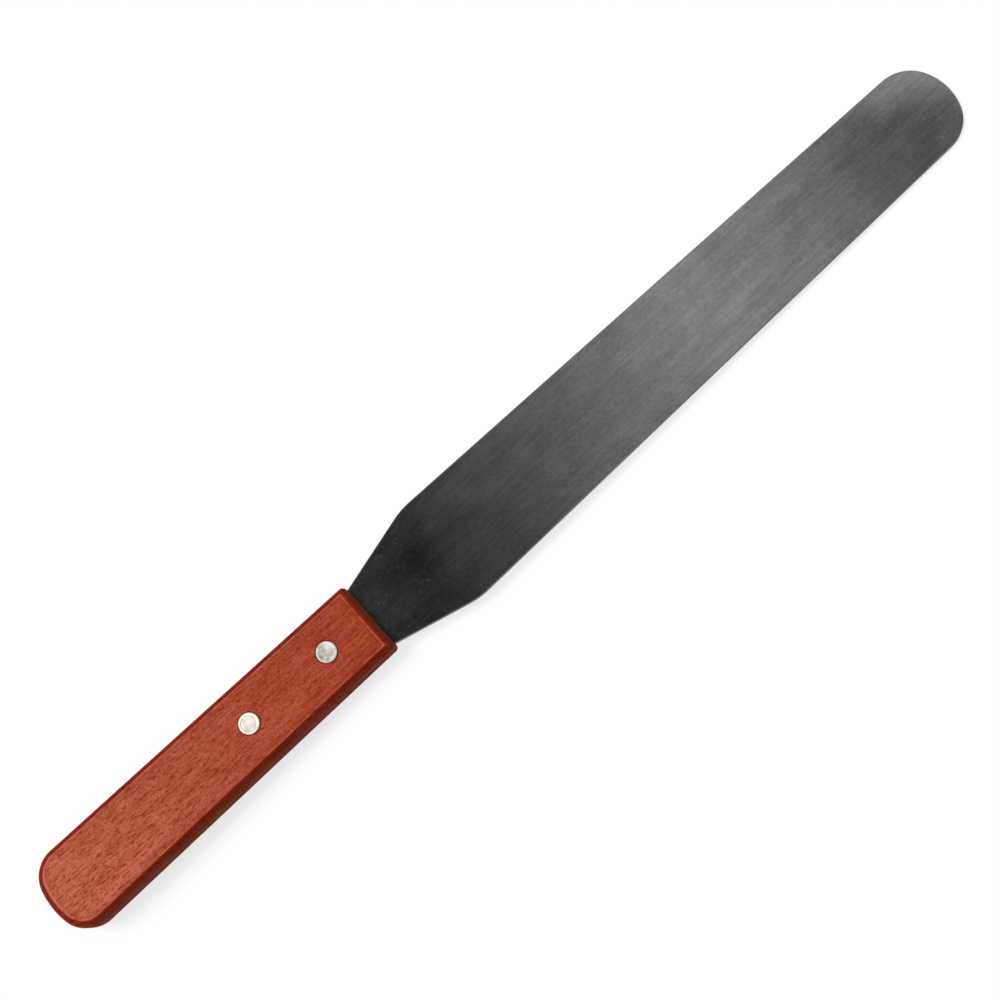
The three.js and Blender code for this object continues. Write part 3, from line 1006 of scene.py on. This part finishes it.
def floor_finish():
    finish = bpy.data.materials.new("white_paper")
    finish.use_nodes = True
    tree = finish.node_tree
    tree.nodes.clear()
    seen = light_path_is_seen(tree)
    colour = blended(tree, seen, (PAPER_BOUNCE,) * 3, WHITE)
    paper = add(tree, "ShaderNodeBsdfDiffuse", {"Color": colour}).outputs["BSDF"]
    glow = add(tree, "ShaderNodeEmission", {"Color": (*WHITE, 1), "Strength": 1.0}).outputs["Emission"]
    share = calc(tree, "MULTIPLY", seen, PAPER_GLOW)
    both = add(tree, "ShaderNodeMixShader", {0: share, 1: paper, 2: glow})
    add(tree, "ShaderNodeOutputMaterial", {"Surface": both.outputs["Shader"]})
    return finish


floor_outline = drawn_in(circle_outline(0, FLOOR_RADIUS, FLOOR_SIDES), 0)
floor_mesh = bpy.data.meshes.new("floor")
floor_mesh.from_pydata(
    [(x, y, floor_slope * (x - pivot_x)) for x, y in floor_outline], [], [tuple(range(FLOOR_SIDES))])
floor_mesh.materials.append(floor_finish())
floor = bpy.data.objects.new("floor", floor_mesh)
scene.collection.objects.link(floor)
print("floor tilts by %.2f degrees" % math.degrees(math.atan(floor_slope)))

# %% [markdown]
# ## Light
# In the photograph the flat faces are bright and the wall that faces the camera is dark, so one large
# soft lamp stands high over the far side, toward the butt. An area lamp would fade across the floor.
# A sun lamp with a wide angle is as soft, and lights the far floor as evenly as the tool.

# %% Key lamp
KEY_FROM = Vector((-0.42, 0.32, 0.845))
KEY_STRENGTH = 2.82
KEY_ANGLE = math.radians(30)

key = bpy.data.objects.new("key_lamp", bpy.data.lights.new("key_lamp", "SUN"))
key.data.energy = KEY_STRENGTH
key.data.angle = KEY_ANGLE
key.rotation_mode = "QUATERNION"
key.rotation_quaternion = KEY_FROM.to_track_quat("Z", "Y")
scene.collection.objects.link(key)
key_level = KEY_STRENGTH * KEY_FROM.normalized().z / math.pi
print("key lamp lights a level white sheet to %.2f of full white" % key_level)

# %% [markdown]
# ## What the steel reflects
# Polished steel is mostly a picture of the room. In the photograph it is nearly black at the neck,
# brightens slowly to a soft grey past the middle, darkens again with a small step, and is pale at the
# very tip. An image of a studio could stand around the tool, but a few ramps by direction do the same,
# and each can be placed by a number or two. There is a dome that brightens with height, and overhead a
# dark ceiling with one patch of light, which rises and falls along the tool. The ceiling ends on a
# slant past the tip. A white horizon is there for the eye and for reflections only.

# %% World
LEAST_HEIGHT = 0.02  # keeps the slopes finite
DOME_HEIGHTS, DOME_LEVELS = (0.35, 0.85), (0.12, 0.42)
HORIZON_HEIGHTS = (0.42, 0.17)
CEILING_LEVEL, PATCH_LEVEL = 0.019, 0.38
# Where a ramp starts and where it is complete, as slopes: length along or across the tool per height.
PATCH_RISE, PATCH_FALL, PATCH_STEP = (-0.052, 0.137), (0.282, 0.160), (0.238, 0.250)
PATCH_EASE = 1.2  # above one, the rise starts gently
PATCH_FLOOR, PATCH_STEP_LOSS = 0.42, 0.3  # what is left past the fall, and what the step takes
PATCH_MIDDLE, PATCH_REACH = 0.26, 0.40  # across the tool
CEILING_START, CEILING_NEAR, CEILING_END = (-0.20, -0.14), (0.02, 0.08), (0.410, 0.379)
SLANT_ALONG, SLANT_ACROSS = 0.6, 0.8
ROOM_TINT = (1.0, 0.985, 0.945)


def ceiling_patch(tree, along, across):
    rise = calc(tree, "POWER", spread(tree, along, *PATCH_RISE), PATCH_EASE)
    fall = spread(tree, along, *PATCH_FALL, PATCH_FLOOR, 1.0)
    step = spread(tree, along, *PATCH_STEP, 1.0, 1.0 - PATCH_STEP_LOSS)
    ramps = calc(tree, "MINIMUM", rise, calc(tree, "MULTIPLY", fall, step))
    aside = calc(tree, "ABSOLUTE", calc(tree, "SUBTRACT", across, PATCH_MIDDLE))
    return calc(tree, "MULTIPLY", ramps, spread(tree, aside, PATCH_REACH, 0.0, shape="SMOOTHSTEP"))


def ceiling_share(tree, along, across):
    slant = weighted(tree, (along, SLANT_ALONG), (across, SLANT_ACROSS))
    start = spread(tree, along, *CEILING_START, shape="SMOOTHSTEP")
    near = spread(tree, across, *CEILING_NEAR, shape="SMOOTHSTEP")
    end = spread(tree, slant, *CEILING_END, shape="SMOOTHSTEP")
    return calc(tree, "MULTIPLY", calc(tree, "MULTIPLY", start, near), end)


def mixed(tree, share, first, second):
    # Mixes two numbers as blended mixes two colours.
    return calc(
        tree, "ADD", calc(tree, "MULTIPLY", calc(tree, "SUBTRACT", 1.0, share), first),
        calc(tree, "MULTIPLY", share, second))


def studio_world():
    world = bpy.data.worlds.new("studio")
    world.use_nodes = True
    tree = world.node_tree
    tree.nodes.clear()
    direction = split(tree, add(tree, "ShaderNodeTexCoord").outputs["Generated"])
    height = calc(tree, "MAXIMUM", direction["Z"], LEAST_HEIGHT)
    along = calc(tree, "DIVIDE", direction["X"], height)
    across = calc(tree, "DIVIDE", direction["Y"], height)
    ceiling = ceiling_share(tree, along, across)
    patch = calc(tree, "MULTIPLY", ceiling_patch(tree, along, across), PATCH_LEVEL)
    inside = calc(tree, "ADD", CEILING_LEVEL, patch)
    dome = spread(tree, direction["Z"], *DOME_HEIGHTS, *DOME_LEVELS)
    upper = mixed(tree, ceiling, dome, inside)
    pale = spread(tree, direction["Z"], *HORIZON_HEIGHTS)
    horizon = calc(tree, "MULTIPLY", pale, light_path_is_seen(tree))
    level = mixed(tree, horizon, upper, 1.0)
    tint = blended(tree, calc(tree, "MAXIMUM", ceiling, horizon), ROOM_TINT, WHITE)
    glow = add(tree, "ShaderNodeBackground", {"Color": tint, "Strength": level})
    add(tree, "ShaderNodeOutputWorld", {"Surface": glow.outputs["Background"]})
    return world


scene.world = studio_world()
print("world has %d nodes" % len(scene.world.node_tree.nodes))
